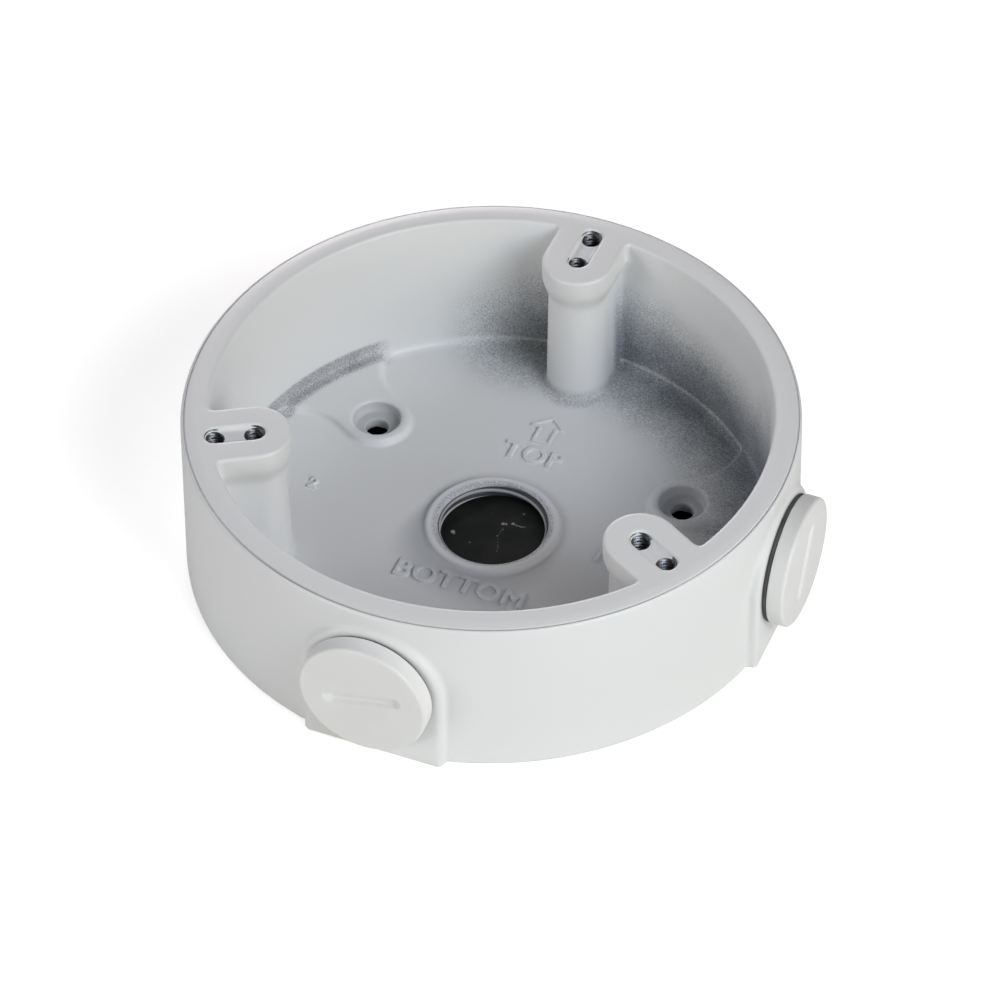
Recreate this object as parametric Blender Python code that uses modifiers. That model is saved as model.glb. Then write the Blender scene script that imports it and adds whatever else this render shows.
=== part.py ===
# Round die-cast junction box for a dome camera, modelled in metres with +Z up.
# The origin is on the housing's axis, in the plane of its mounting face.
# +Y points to the post that is mounted uppermost on a wall.
import math

import bmesh
import bpy
from mathutils import Matrix

MM = 0.001

# Housing shell
HOUSING_RADIUS = 55.0 * MM
HOUSING_HEIGHT = 33.0 * MM
HOUSING_DRAFT = math.radians(0.9)
RIM_WIDTH = 4.9 * MM
RIM_CROWN_WIDTH = 2.6 * MM
RIM_CROWN_DROP = 0.2 * MM
RIM_LINE_WIDTH = 0.3 * MM
RIM_LINE_DEPTH = 0.35 * MM
RIM_INNER_EDGE = 0.4 * MM
LIP_HEIGHT = 3.9 * MM
LIP_STEP = 0.4 * MM
FLOOR_THICKNESS = 3.2 * MM
FLOOR_FILLET = 1.8 * MM
BASE_EDGE = 0.4 * MM

# Rear cable entry in the floor
REAR_BORE_RADIUS = 9.5 * MM
REAR_BORE_CHAMFER = 0.45 * MM
REAR_BORE_RISE = 0.3 * MM
REAR_RING_WIDTH = 2.8 * MM
REAR_RING_HEIGHT = 1.0 * MM
REAR_RING_EDGE = 0.5 * MM
REAR_DISC_LAP = 3.5 * MM
REAR_DISC_THICKNESS = 1.2 * MM
REAR_DISC_EDGE = 0.3 * MM

# Camera posts
POST_ANGLES = (90.0, 210.0, 330.0)
POST_HOLE_INSET = 13.0 * MM
POST_HOLE_PITCH = 7.05 * MM
POST_HOLE_RADIUS = 1.65 * MM
POST_HOLE_DEPTH = 12.0 * MM
POST_HEAD_RADIUS = 6.6 * MM
POST_HEAD_HEIGHT = 8.0 * MM
POST_HEAD_EDGE = 0.5 * MM
POST_BODY_INSET = 1.2 * MM
POST_BODY_DRAFT = math.radians(1.0)
POST_FILLET = 1.4 * MM
POST_SLOT_MARGIN = 0.25 * MM
POST_SLOT_DEPTH = 1.0 * MM

# Wall mounting bosses on the floor
BOSS_ANGLES = (30.0, 150.0, 270.0)
BOSS_INSET = 20.2 * MM
BOSS_MARGIN = 1.8 * MM
BOSS_HEIGHT = 1.5 * MM
BOSS_EDGE = 0.4 * MM
BOSS_SIDE_SLOPE = math.radians(14.0)
BOSS_FLARE_RADIUS = 10.5 * MM
BOSS_FLARE_SETBACK = 1.0 * MM
BOSS_ROOT_OVERLAP = 1.0 * MM
SCREW_HOLE_RADIUS = 2.1 * MM
SCREW_HEAD_RADIUS = 4.4 * MM
SCREW_HEAD_DEPTH = 2.5 * MM

# Side entries, one facing down on the wall and one facing right
ENTRY_BORE_RADIUS = 10.5 * MM
ENTRY_BORE_CHAMFER = 0.5 * MM
ENTRY_HEIGHT = 16.0 * MM
ENTRY_PAD_MARGIN = 2.7 * MM
ENTRY_PAD_RISE = 0.05 * MM
ENTRY_PAD_EDGE = 0.8 * MM
SPOT_FACE_MARGIN = 0.15 * MM
SPOT_FACE_DEPTH = 0.1 * MM
ENTRY_BOSS_DEPTH = 7.0 * MM

# Side plugs and their gaskets
PLUG_HEAD_OVERHANG = 0.25 * MM
PLUG_HEAD_THICKNESS = 3.1 * MM
PLUG_HEAD_EDGE = 0.6 * MM
PLUG_SHANK_LENGTH = 7.6 * MM
PLUG_SHANK_CHAMFER = 0.8 * MM
PLUG_SHANK_WALL = 2.6 * MM
PLUG_SLOT_MARGIN = 4.3 * MM
PLUG_SLOT_WIDTH = 2.7 * MM
PLUG_SLOT_DEPTH = 1.2 * MM
GASKET_WIDTH = 1.1 * MM
GASKET_THICKNESS = 0.7 * MM
GASKET_EDGE = 0.2 * MM

# Clearances between separate pieces
SHANK_CLEARANCE = 0.3 * MM
SEAT_CLEARANCE = 0.15 * MM
DISC_CLEARANCE = 0.3 * MM

# Sizes of cutters and unions past the faces that they meet
OVERLAP = 2.0 * MM

# Facets round a full turn
HOUSING_STEPS = 96
PLUG_STEPS = 48
HOLE_STEPS = 20
HALF_TURN_STEPS = 15
SLOT_END_STEPS = 7

# Sizes that follow from the ones above
BASE_RADIUS = HOUSING_RADIUS + HOUSING_HEIGHT * math.tan(HOUSING_DRAFT)
RIM_INNER_RADIUS = HOUSING_RADIUS - RIM_WIDTH
WALL_INNER_RADIUS = RIM_INNER_RADIUS - LIP_STEP
WALL_MIDDLE_RADIUS = (WALL_INNER_RADIUS + HOUSING_RADIUS) / 2
REAR_RING_RADIUS = REAR_BORE_RADIUS + REAR_RING_WIDTH
REAR_DISC_RADIUS = REAR_BORE_RADIUS + REAR_DISC_LAP
POST_HOLE_CIRCLE = HOUSING_RADIUS - POST_HOLE_INSET
POST_SLOT_RADIUS = POST_HOLE_RADIUS + POST_SLOT_MARGIN
BOSS_RADIUS = SCREW_HEAD_RADIUS + BOSS_MARGIN
BOSS_CIRCLE = HOUSING_RADIUS - BOSS_INSET
BOSS_FLARE_START = WALL_INNER_RADIUS - BOSS_FLARE_SETBACK - BOSS_FLARE_RADIUS
BOSS_ROOT_RADIUS = WALL_INNER_RADIUS + BOSS_ROOT_OVERLAP
BOSS_TOP = FLOOR_THICKNESS + BOSS_HEIGHT
DISC_POCKET_DEPTH = REAR_DISC_THICKNESS + DISC_CLEARANCE
PLUG_SHANK_RADIUS = ENTRY_BORE_RADIUS - SHANK_CLEARANCE
PLUG_HOLLOW_RADIUS = PLUG_SHANK_RADIUS - PLUG_SHANK_WALL
GASKET_HOLE_RADIUS = PLUG_SHANK_RADIUS + SHANK_CLEARANCE
GASKET_RADIUS = GASKET_HOLE_RADIUS + GASKET_WIDTH
PLUG_HEAD_RADIUS = GASKET_RADIUS + PLUG_HEAD_OVERHANG
PLUG_SLOT_LENGTH = 2 * (PLUG_HEAD_RADIUS - PLUG_SLOT_MARGIN)
ENTRY_PAD_RADIUS = ENTRY_BORE_RADIUS + ENTRY_PAD_MARGIN
ENTRY_PAD_REACH = BASE_RADIUS + ENTRY_PAD_RISE
SPOT_FACE_RADIUS = PLUG_HEAD_RADIUS + SPOT_FACE_MARGIN
SPOT_FACE_REACH = ENTRY_PAD_REACH - SPOT_FACE_DEPTH
GASKET_SEAT = SPOT_FACE_REACH + SEAT_CLEARANCE
PLUG_SEAT = GASKET_SEAT + GASKET_THICKNESS + SEAT_CLEARANCE

# Each side entry: its name, its direction round the box and the slot's turn from level
ENTRIES = (("bottom", 270.0, 13.0), ("right", 0.0, 63.0))


def arc(center_x, center_y, radius, start, end, steps):
    """Points along a round stretch, with the angles in degrees."""
    points = []
    for step in range(steps + 1):
        angle = math.radians(start + (end - start) * step / steps)
        points.append((center_x + radius * math.cos(angle), center_y + radius * math.sin(angle)))
    return points


def clear_scene():
    for old in list(bpy.data.objects):
        bpy.data.objects.remove(old, do_unlink=True)


def make_collection(name):
    collection = bpy.data.collections.new(name)
    bpy.context.scene.collection.children.link(collection)
    return collection


def make_material(name, color, roughness, metallic):
    material = bpy.data.materials.new(name)
    material.use_nodes = True
    shader = material.node_tree.nodes["Principled BSDF"]
    shader.inputs["Base Color"].default_value = (*color, 1.0)
    shader.inputs["Roughness"].default_value = roughness
    shader.inputs["Metallic"].default_value = metallic
    return material


def add_object(name, mesh, collection, material=None):
    made = bpy.data.objects.new(name, mesh)
    collection.objects.link(made)
    if material:
        mesh.materials.append(material)
    return made


def mark_as_helper(helper):
    helper.hide_render = True
    helper.display_type = "WIRE"


def shade(mesh):
    mesh.shade_smooth()
    mesh.set_sharp_from_angle(angle=math.radians(28))


def turned(name, profile, steps, collection, material=None, closed=False):
    """A turned solid: a profile of radius and height, swept round Z by a Screw modifier."""
    count = len(profile)
    points = [(radius, 0.0, height) for radius, height in profile]
    edges = [(index, index + 1) for index in range(count - 1)]
    if closed:
        edges.append((count - 1, 0))
    mesh = bpy.data.meshes.new(name)
    mesh.from_pydata(points, edges, [])
    made = add_object(name, mesh, collection, material)
    screw = made.modifiers.new("turn", "SCREW")
    screw.axis = "Z"
    screw.angle = 2 * math.pi
    screw.steps = steps
    screw.render_steps = steps
    screw.use_merge_vertices = True
    screw.merge_threshold = 0.00001
    screw.use_smooth_shade = True
    return made


def lofted(name, sections, collection):
    """A solid through flat sections that share one count of points, given as loops of 3-D points."""
    shape = bmesh.new()
    rings = []
    for section in sections:
        ring = [shape.verts.new(point) for point in section]
        edges = [shape.edges.new((ring[i - 1], ring[i])) for i in range(len(ring))]
        rings.append((ring, edges))
    for (_, lower), (_, upper) in zip(rings, rings[1:]):
        bmesh.ops.bridge_loops(shape, edges=lower + upper)
    shape.faces.new(rings[0][0])
    shape.faces.new(rings[-1][0])
    bmesh.ops.recalc_face_normals(shape, faces=shape.faces)
    mesh = bpy.data.meshes.new(name)
    shape.to_mesh(mesh)
    shape.free()
    shade(mesh)
    return add_object(name, mesh, collection)


def at_height(outline, height):
    return [(x, y, height) for x, y in outline]


def combine(target, tool, operation):
    """Unite a helper with the target, or cut the target by it."""
    mark_as_helper(tool)
    modifier = target.modifiers.new(tool.name, "BOOLEAN")
    modifier.operation = operation
    modifier.solver = "EXACT"
    modifier.object = tool


def turn_about_axis(made, degrees):
    made.rotation_euler.z = math.radians(degrees)


def aim_outwards(made, direction):
    """Lay a piece turned about Z along the outward direction of a side entry."""
    made.rotation_euler = (math.radians(90), 0.0, math.radians(direction + 90))
    made.location = (0.0, 0.0, ENTRY_HEIGHT)


def housing_profile():
    """The cup's section: down the outside, in under the floor, up the bore and the inner wall."""
    crown_edge = HOUSING_RADIUS - RIM_LINE_WIDTH
    crown_height = HOUSING_HEIGHT - RIM_CROWN_DROP
    profile = [
        (HOUSING_RADIUS - RIM_CROWN_WIDTH, HOUSING_HEIGHT),
        (crown_edge, crown_height),
        (crown_edge - RIM_LINE_WIDTH / 2, crown_height - RIM_LINE_DEPTH),
        (HOUSING_RADIUS, crown_height - RIM_LINE_WIDTH / 2),
    ]
    profile += arc(BASE_RADIUS - BASE_EDGE, BASE_EDGE, BASE_EDGE, 0, -90, 2)
    pocket_radius = REAR_DISC_RADIUS + DISC_CLEARANCE
    ring_top = FLOOR_THICKNESS + REAR_RING_HEIGHT
    bore_edge = FLOOR_THICKNESS + REAR_BORE_RISE
    profile += [
        (pocket_radius, 0.0),
        (pocket_radius, DISC_POCKET_DEPTH),
        (REAR_BORE_RADIUS, DISC_POCKET_DEPTH),
        (REAR_BORE_RADIUS, bore_edge - REAR_BORE_CHAMFER),
        (REAR_BORE_RADIUS + REAR_BORE_CHAMFER, bore_edge),
        (REAR_BORE_RADIUS + REAR_BORE_CHAMFER + REAR_RING_EDGE, ring_top - REAR_RING_EDGE / 3),
    ]
    profile += arc(
        REAR_RING_RADIUS - REAR_RING_EDGE, ring_top - REAR_RING_EDGE, REAR_RING_EDGE, 90, 0, 2
    )
    profile += arc(
        REAR_RING_RADIUS + REAR_RING_EDGE, FLOOR_THICKNESS + REAR_RING_EDGE, REAR_RING_EDGE, 180, 270, 2
    )
    profile += arc(
        WALL_INNER_RADIUS - FLOOR_FILLET, FLOOR_THICKNESS + FLOOR_FILLET, FLOOR_FILLET, -90, 0, 4
    )
    profile.append((WALL_INNER_RADIUS, HOUSING_HEIGHT - LIP_HEIGHT))
    profile += arc(
        RIM_INNER_RADIUS + RIM_INNER_EDGE, HOUSING_HEIGHT - RIM_INNER_EDGE, RIM_INNER_EDGE, 180, 90, 2
    )
    return profile


def post_outline(inset):
    """A post seen from above: round towards the middle, then straight and flared into the wall."""
    half = POST_HEAD_RADIUS - inset
    flare = POST_FILLET + inset
    flare_x = WALL_INNER_RADIUS - POST_FILLET
    flare_y = POST_HEAD_RADIUS + POST_FILLET
    outline = arc(POST_HOLE_CIRCLE, 0.0, half, 90, 270, HALF_TURN_STEPS)
    outline += arc(flare_x, -flare_y, flare, 90, 0, 3)
    outline += [(WALL_MIDDLE_RADIUS, -flare_y), (WALL_MIDDLE_RADIUS, flare_y)]
    outline += arc(flare_x, flare_y, flare, 0, -90, 3)
    return outline


def make_post(angle, helpers):
    """A post with a wider head, level with the rim, that the camera's base is screwed to."""
    head_bottom = HOUSING_HEIGHT - POST_HEAD_HEIGHT
    body_height = head_bottom - FLOOR_THICKNESS
    foot_inset = POST_BODY_INSET - body_height * math.tan(POST_BODY_DRAFT)
    root_height = FLOOR_THICKNESS / 2
    sections = [at_height(post_outline(foot_inset), root_height)]
    sections.append(at_height(post_outline(POST_BODY_INSET), head_bottom))
    for inset, rise in arc(POST_BODY_INSET, POST_BODY_INSET, POST_BODY_INSET, 240, 180, 2):
        sections.append(at_height(post_outline(inset), head_bottom + rise))
    side_top = HOUSING_HEIGHT - POST_HEAD_EDGE
    for inset, rise in arc(POST_HEAD_EDGE, 0.0, POST_HEAD_EDGE, 180, 90, 2):
        sections.append(at_height(post_outline(inset), side_top + rise))
    post = lofted(f"post_{angle:.0f}", sections, helpers)
    turn_about_axis(post, angle)
    return post


def slot_outline():
    outer = POST_HOLE_CIRCLE + POST_HOLE_PITCH
    outline = arc(POST_HOLE_CIRCLE, 0.0, POST_SLOT_RADIUS, 90, 270, SLOT_END_STEPS)
    outline += arc(outer, 0.0, POST_SLOT_RADIUS, -90, 90, SLOT_END_STEPS)
    return outline


def make_post_slot(angle, helpers):
    floor = HOUSING_HEIGHT - POST_SLOT_DEPTH
    sections = [at_height(slot_outline(), height) for height in (floor, HOUSING_HEIGHT + OVERLAP)]
    slot = lofted(f"post_slot_{angle:.0f}", sections, helpers)
    turn_about_axis(slot, angle)
    return slot


def make_hole(name, radius, bottom, top, place, angle, helpers):
    """A cylindrical cutter on a circle round the housing's axis, with a facet on that radius."""
    shape = bmesh.new()
    turn = Matrix.Rotation(math.radians(angle), 4, "Z")
    middle = Matrix.Translation((place, 0.0, (bottom + top) / 2))
    half_facet = Matrix.Rotation(math.pi / HOLE_STEPS, 4, "Z")
    bmesh.ops.create_cone(
        shape,
        cap_ends=True,
        segments=HOLE_STEPS,
        radius1=radius,
        radius2=radius,
        depth=top - bottom,
        matrix=turn @ middle @ half_facet,
    )
    mesh = bpy.data.meshes.new(name)
    shape.to_mesh(mesh)
    shape.free()
    return add_object(name, mesh, helpers)


def boss_outline(inset):
    """A mounting boss seen from above: round, then flared out to the wall by hollow flanks."""
    half = BOSS_RADIUS - inset
    flare = BOSS_FLARE_RADIUS + inset
    flare_y = BOSS_RADIUS + BOSS_FLARE_RADIUS
    outline = arc(BOSS_CIRCLE, 0.0, half, 90, 270, HALF_TURN_STEPS)
    outline += arc(BOSS_FLARE_START, -flare_y, flare, 90, 0, 6)
    outline += [(BOSS_ROOT_RADIUS, -flare_y), (BOSS_ROOT_RADIUS, flare_y)]
    outline += arc(BOSS_FLARE_START, flare_y, flare, 0, -90, 6)
    return outline


def make_boss(angle, helpers):
    root = FLOOR_THICKNESS / 2
    spread = (BOSS_TOP - root) * math.tan(BOSS_SIDE_SLOPE)
    sections = [
        at_height(boss_outline(-spread), root),
        at_height(boss_outline(0.0), BOSS_TOP - BOSS_EDGE),
        at_height(boss_outline(BOSS_EDGE), BOSS_TOP),
    ]
    boss = lofted(f"boss_{angle:.0f}", sections, helpers)
    turn_about_axis(boss, angle)
    return boss


def entry_outline(reach, outset):
    """An arch on the base, round the entry's axis, as points in a plane across that axis."""
    radius = ENTRY_PAD_RADIUS + outset
    outline = [(reach, radius, 0.0)]
    outline += [(reach, y, z) for y, z in arc(0.0, ENTRY_HEIGHT, radius, 0, 180, HALF_TURN_STEPS)]
    outline.append((reach, -radius, 0.0))
    return outline


def make_entry_pad(name, direction, helpers):
    """The flat pad outside the wall and the flat boss inside it, in one arch through the wall."""
    inner = ENTRY_PAD_REACH - ENTRY_BOSS_DEPTH
    sections = [
        entry_outline(inner, -ENTRY_PAD_EDGE / 2),
        entry_outline(inner + ENTRY_PAD_EDGE / 2, 0.0),
    ]
    for outset, rise in arc(-ENTRY_PAD_EDGE, 0.0, ENTRY_PAD_EDGE, 0, 90, 3):
        reach = ENTRY_PAD_REACH - ENTRY_PAD_EDGE + rise
        sections.append(entry_outline(reach, outset))
    pad = lofted(f"entry_pad_{name}", sections, helpers)
    turn_about_axis(pad, direction)
    return pad


def make_entry_bore(name, direction, helpers):
    """The side entry's bore and mouth, in the spot face that its gasket seats on."""
    inner = ENTRY_PAD_REACH - ENTRY_BOSS_DEPTH - OVERLAP
    mouth = SPOT_FACE_REACH - ENTRY_BORE_CHAMFER
    flare = ENTRY_BORE_RADIUS + ENTRY_BORE_CHAMFER
    profile = [
        (0.0, ENTRY_PAD_REACH + OVERLAP),
        (SPOT_FACE_RADIUS, ENTRY_PAD_REACH + OVERLAP),
        (SPOT_FACE_RADIUS, SPOT_FACE_REACH),
        (flare, SPOT_FACE_REACH),
        (ENTRY_BORE_RADIUS, mouth),
        (ENTRY_BORE_RADIUS, inner),
        (0.0, inner),
    ]
    bore = turned(f"entry_bore_{name}", profile, PLUG_STEPS, helpers)
    aim_outwards(bore, direction)
    return bore


def make_housing(product, helpers, coat):
    """The one-piece casting: cup, posts, mounting bosses and entry pads, then every hole."""
    housing = turned("housing", housing_profile(), HOUSING_STEPS, product, coat, closed=True)
    for angle in BOSS_ANGLES:
        combine(housing, make_boss(angle, helpers), "UNION")
    for angle in POST_ANGLES:
        combine(housing, make_post(angle, helpers), "UNION")
    for name, direction, _ in ENTRIES:
        combine(housing, make_entry_pad(name, direction, helpers), "UNION")
        combine(housing, make_entry_bore(name, direction, helpers), "DIFFERENCE")
    for angle in POST_ANGLES:
        combine(housing, make_post_slot(angle, helpers), "DIFFERENCE")
        slot_floor = HOUSING_HEIGHT - POST_SLOT_DEPTH
        for place in (POST_HOLE_CIRCLE, POST_HOLE_CIRCLE + POST_HOLE_PITCH):
            name = f"post_hole_{angle:.0f}_{place / MM:.0f}"
            bottom = slot_floor - POST_HOLE_DEPTH
            top = HOUSING_HEIGHT + OVERLAP
            hole = make_hole(name, POST_HOLE_RADIUS, bottom, top, place, angle, helpers)
            combine(housing, hole, "DIFFERENCE")
    for angle in BOSS_ANGLES:
        seat = BOSS_TOP - SCREW_HEAD_DEPTH
        top = BOSS_TOP + OVERLAP
        through = make_hole(
            f"screw_hole_{angle:.0f}", SCREW_HOLE_RADIUS, -OVERLAP, top, BOSS_CIRCLE, angle, helpers
        )
        recess = make_hole(
            f"screw_head_{angle:.0f}", SCREW_HEAD_RADIUS, seat, top, BOSS_CIRCLE, angle, helpers
        )
        combine(housing, through, "DIFFERENCE")
        combine(housing, recess, "DIFFERENCE")
    return housing


def plug_profile():
    """A side plug's section along its axis, from the face round the head and down the shank."""
    face = PLUG_SEAT + PLUG_HEAD_THICKNESS
    tip = PLUG_SEAT - PLUG_SHANK_LENGTH
    profile = [(0.0, face)]
    profile += arc(PLUG_HEAD_RADIUS - PLUG_HEAD_EDGE, face - PLUG_HEAD_EDGE, PLUG_HEAD_EDGE, 90, 0, 3)
    profile += [
        (PLUG_HEAD_RADIUS, PLUG_SEAT),
        (PLUG_SHANK_RADIUS, PLUG_SEAT),
        (PLUG_SHANK_RADIUS, tip + PLUG_SHANK_CHAMFER),
        (PLUG_SHANK_RADIUS - PLUG_SHANK_CHAMFER, tip),
        (PLUG_HOLLOW_RADIUS, tip),
        (PLUG_HOLLOW_RADIUS, PLUG_SEAT),
        (0.0, PLUG_SEAT),
    ]
    return profile


def make_plug_slot(name, direction, turn, helpers):
    """The coin slot's cutter: a bar with round, sloping ends, across the face of the plug."""
    half = PLUG_SLOT_LENGTH / 2 - PLUG_SLOT_WIDTH / 2
    width = PLUG_SLOT_WIDTH / 2
    face = PLUG_SEAT + PLUG_HEAD_THICKNESS

    def outline(shrink, grow, height):
        right = arc(half - shrink, 0.0, width + grow, -90, 90, 6)
        left = arc(shrink - half, 0.0, width + grow, 90, 270, 6)
        return at_height(right + left, height)

    sections = [
        outline(PLUG_SLOT_DEPTH, 0.0, face - PLUG_SLOT_DEPTH),
        outline(0.0, 0.0, face),
        outline(0.0, 0.0, face + OVERLAP),
    ]
    slot = lofted(f"plug_slot_{name}", sections, helpers)
    slot.data.transform(Matrix.Rotation(math.radians(turn), 4, "Z"))
    aim_outwards(slot, direction)
    return slot


def make_plug(name, direction, turn, product, helpers, coat):
    plug = turned(f"side_plug_{name}", plug_profile(), PLUG_STEPS, product, coat)
    aim_outwards(plug, direction)
    combine(plug, make_plug_slot(name, direction, turn, helpers), "DIFFERENCE")
    return plug


def make_gasket(name, direction, product, rubber):
    """The flat ring under a plug's head."""
    outer = GASKET_SEAT + GASKET_THICKNESS
    profile = [
        (GASKET_RADIUS - GASKET_EDGE, outer),
        (GASKET_RADIUS, outer - GASKET_EDGE),
        (GASKET_RADIUS, GASKET_SEAT + GASKET_EDGE),
        (GASKET_RADIUS - GASKET_EDGE, GASKET_SEAT),
        (GASKET_HOLE_RADIUS, GASKET_SEAT),
        (GASKET_HOLE_RADIUS, outer),
    ]
    gasket = turned(f"plug_gasket_{name}", profile, PLUG_STEPS, product, rubber, closed=True)
    aim_outwards(gasket, direction)
    return gasket


def make_rear_disc(product, rubber):
    """The black blanking disc that closes the rear entry, flush with the mounting face."""
    profile = [
        (0.0, REAR_DISC_THICKNESS),
        (REAR_DISC_RADIUS - REAR_DISC_EDGE, REAR_DISC_THICKNESS),
        (REAR_DISC_RADIUS, REAR_DISC_THICKNESS - REAR_DISC_EDGE),
        (REAR_DISC_RADIUS, 0.0),
        (0.0, 0.0),
    ]
    return turned("rear_blanking_disc", profile, PLUG_STEPS, product, rubber)


def main():
    clear_scene()
    product = make_collection("junction box")
    helpers = make_collection("cutters")
    coat = make_material("white powder coat", (0.78, 0.79, 0.79), 0.45, 0.0)
    plug_coat = make_material("white plug coat", (0.8, 0.8, 0.8), 0.4, 0.0)
    rubber = make_material("black gasket rubber", (0.045, 0.045, 0.043), 0.7, 0.0)
    disc_rubber = make_material("black disc rubber", (0.018, 0.02, 0.018), 0.35, 0.0)
    make_housing(product, helpers, coat)
    make_rear_disc(product, disc_rubber)
    for name, direction, turn in ENTRIES:
        make_gasket(name, direction, product, rubber)
        make_plug(name, direction, turn, product, helpers, plug_coat)


main()
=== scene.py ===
import math

import bmesh
import bpy
from mathutils import Matrix, Vector


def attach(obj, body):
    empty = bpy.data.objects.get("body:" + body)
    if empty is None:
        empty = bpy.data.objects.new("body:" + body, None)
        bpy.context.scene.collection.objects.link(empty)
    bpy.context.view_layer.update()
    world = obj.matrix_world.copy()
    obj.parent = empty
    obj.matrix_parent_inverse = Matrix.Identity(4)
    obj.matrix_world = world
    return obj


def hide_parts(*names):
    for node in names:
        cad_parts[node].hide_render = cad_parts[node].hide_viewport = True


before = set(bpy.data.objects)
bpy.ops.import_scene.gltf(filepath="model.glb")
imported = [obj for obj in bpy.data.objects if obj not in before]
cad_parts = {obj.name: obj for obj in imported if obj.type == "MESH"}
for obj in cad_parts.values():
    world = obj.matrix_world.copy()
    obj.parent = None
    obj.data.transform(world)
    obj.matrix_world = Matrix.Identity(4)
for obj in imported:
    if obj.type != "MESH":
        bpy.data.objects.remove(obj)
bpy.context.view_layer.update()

# Shapes are drawn in millimetres and brought to metres when a piece is finished
toMetres = 0.001


def clearView():
    for spare in [thing for thing in bpy.data.objects if thing.type in ("CAMERA", "LIGHT")]:
        bpy.data.objects.remove(spare, do_unlink=True)


def newObject(name, mesh):
    made = bpy.data.objects.new(name, mesh)
    bpy.context.scene.collection.objects.link(made)
    return made


def arcPoints(centreX, centreY, radius, start, end, steps):
    # points along a round stretch, angles in degrees
    points = []
    for step in range(steps + 1):
        angle = math.radians(start + (end - start) * step / steps)
        points.append((centreX + radius * math.cos(angle), centreY + radius * math.sin(angle)))
    return points


def turnedMesh(name, profile, steps, closed=False):
    # a section of (radius, height) points spun round Z
    shape = bmesh.new()
    ring = [shape.verts.new((radius, 0, height)) for radius, height in profile]
    edges = [shape.edges.new(pair) for pair in zip(ring, ring[1:])]
    if closed:
        edges.append(shape.edges.new((ring[-1], ring[0])))
    bmesh.ops.spin(
        shape, geom=ring + edges, cent=(0, 0, 0), axis=(0, 0, 1),
        angle=2 * math.pi, steps=steps, use_merge=True,
    )
    bmesh.ops.remove_doubles(shape, verts=shape.verts, dist=0.0005)
    bmesh.ops.recalc_face_normals(shape, faces=shape.faces)
    return toMesh(name, shape)


def loftedMesh(name, sections):
    # flat loops with the same count of points, joined by quads and closed at both ends
    shape = bmesh.new()
    rings = [[shape.verts.new(point) for point in section] for section in sections]
    for lower, upper in zip(rings, rings[1:]):
        for i in range(len(lower)):
            shape.faces.new((lower[i - 1], lower[i], upper[i], upper[i - 1]))
    shape.faces.new(rings[0])
    shape.faces.new(rings[-1])
    bmesh.ops.recalc_face_normals(shape, faces=shape.faces)
    return toMesh(name, shape)


def toMesh(name, shape):
    mesh = bpy.data.meshes.new(name)
    shape.to_mesh(mesh)
    shape.free()
    return mesh


def atHeight(outline, height):
    return [(x, y, height) for x, y in outline]


def turned(mesh, degrees):
    mesh.transform(Matrix.Rotation(math.radians(degrees), 4, "Z"))
    return mesh


def aimedOutwards(mesh, direction):
    # a piece drawn round Z is laid along the outward direction of a side entry
    place = Matrix.Translation((0, 0, entry["height"]))
    turn = Matrix.Rotation(math.radians(direction + 90), 4, "Z") @ Matrix.Rotation(math.radians(90), 4, "X")
    mesh.transform(place @ turn)
    return mesh


def joined(name, meshes):
    shape = bmesh.new()
    for mesh in meshes:
        shape.from_mesh(mesh)
    return newObject(name, toMesh(name, shape))


def bake(thing):
    # the evaluated shape becomes the object's own plain mesh
    graph = bpy.context.evaluated_depsgraph_get()
    mesh = bpy.data.meshes.new_from_object(thing.evaluated_get(graph))
    thing.modifiers.clear()
    thing.data = mesh
    return thing


def combine(target, tool, operation):
    change = target.modifiers.new(tool.name, "BOOLEAN")
    change.operation = operation
    change.solver = "EXACT"
    change.material_mode = "TRANSFER"
    change.object = tool
    bake(target)
    return target


def drop(*things):
    for thing in things:
        bpy.data.objects.remove(thing, do_unlink=True)


def finishPiece(piece, body, slotName, *nodes, sharpDegrees=40):
    # smooth shading with crisp corners, then onto its body in metres
    piece.data.transform(Matrix.Scale(toMetres, 4))
    piece.data.shade_smooth()
    piece.data.set_sharp_from_angle(angle=math.radians(sharpDegrees))
    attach(piece, body)
    if nodes:
        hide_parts(*nodes)
    return piece


# Materials

def colour(hexText):
    # sRGB hex to linear
    channels = [int(hexText[i:i + 2], 16) / 255 for i in (0, 2, 4)]
    linear = [c / 12.92 if c <= 0.04045 else ((c + 0.055) / 1.055) ** 2.4 for c in channels]
    return (*linear, 1)


def addNode(tree, kind, settings, links):
    # one node with its settings, and each input either linked or set
    node = tree.nodes.new(kind)
    for key, value in settings.items():
        setattr(node, key, value)
    for key, value in links.items():
        if isinstance(value, bpy.types.NodeSocket):
            tree.links.new(value, node.inputs[key])
        else:
            node.inputs[key].default_value = value
    return node


def startMaterial(name):
    material = bpy.data.materials.new(name)
    material.use_nodes = True
    tree = material.node_tree
    tree.nodes.clear()
    place = addNode(tree, "ShaderNodeTexCoord", {}, {}).outputs["Object"]
    return material, tree, place


def perMillimetre(size):
    # texture scale for a pattern of this size in millimetres
    return 1000 / size


def ramp(tree, value, start, end, low=0.0, high=1.0):
    # a soft step: low before start, high after end
    return addNode(tree, "ShaderNodeMapRange", {"interpolation_type": "SMOOTHSTEP"}, {
        "Value": value, "From Min": start, "From Max": end, "To Min": low, "To Max": high}).outputs[0]


def maths(tree, operation, *values):
    return addNode(tree, "ShaderNodeMath", {"operation": operation}, dict(enumerate(values))).outputs[0]


def vectorMaths(tree, operation, *values):
    node = addNode(tree, "ShaderNodeVectorMath", {"operation": operation}, dict(enumerate(values)))
    return node.outputs["Value" if operation in ("LENGTH", "DISTANCE", "DOT_PRODUCT") else "Vector"]


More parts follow.
